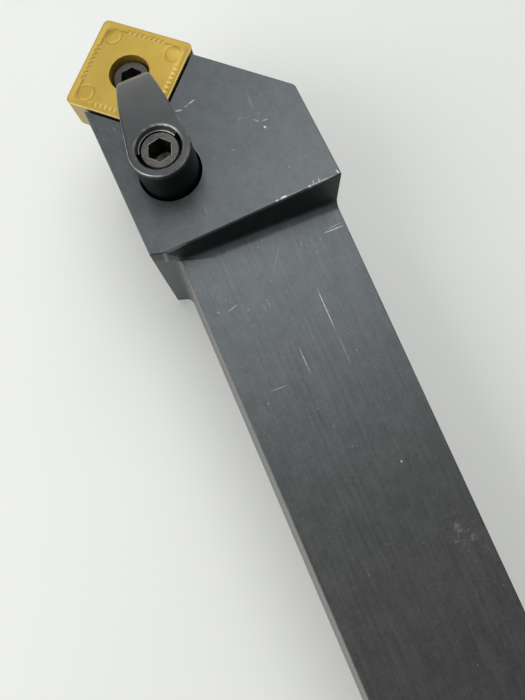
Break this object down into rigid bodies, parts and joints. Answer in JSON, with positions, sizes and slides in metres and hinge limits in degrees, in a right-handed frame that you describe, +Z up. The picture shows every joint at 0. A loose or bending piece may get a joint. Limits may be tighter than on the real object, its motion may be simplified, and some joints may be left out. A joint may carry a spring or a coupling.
{
  "type": "turning tool holder",
  "caption": "Right-hand square-shank turning tool holder with a raised angled head, a clamped square insert on a shim, a lock pin and a finger clamp.",
  "frame": {"origin": "centre of the shank's underside, midway between its rear end and the step of the head", "axes": "+X along the shank to the cutting end, +Y to the cutting side, +Z up from the shank's underside"},
  "size_m": [0.17, 0.04, 0.0445],
  "materials": {
    "oxide_steel": "dark oxide, fine lengthwise grain",
    "ground_carbide": "ground, plain",
    "gold_coating": "satin gold-coloured hard coating",
    "pin_steel": "dark oxide, satin",
    "clamp_steel": "dark oxide, satin, edges rubbed lighter",
    "screw_steel": "black oxide, oiled"
  },
  "bodies": {
    "holder": {"holder_body": "oxide_steel", "shim_seat": "ground_carbide", "cutting_insert": "gold_coating"},
    "clamp": {"top_clamp": "clamp_steel"},
    "screw": {"clamp_screw": "screw_steel"},
    "pin": {"lock_pin": "pin_steel"}
  },
  "joints": [
    {"name": "clamp_lift", "type": "slide", "parent": "holder", "child": "clamp", "axis": [0.1167, 0.1167, 0.9863], "range_m": [0, 0.004]},
    {"name": "screw_turn", "type": "hinge", "parent": "clamp", "child": "screw", "pos_m": [0.0743, 0.0115, 0.03577], "axis": [0.1167, 0.1167, 0.9863], "range_deg": [0, 720]},
    {"name": "pin_turn", "type": "hinge", "parent": "holder", "child": "pin", "pos_m": [0.09672, 0.01112, 0.03357], "axis": [0.1167, 0.1167, 0.9863], "range_deg": [0, 360]}
  ],
  "couplings": [
    {"joint": "screw_turn", "follows": "clamp_lift", "rad_per_m": 3141.6}
  ]
}
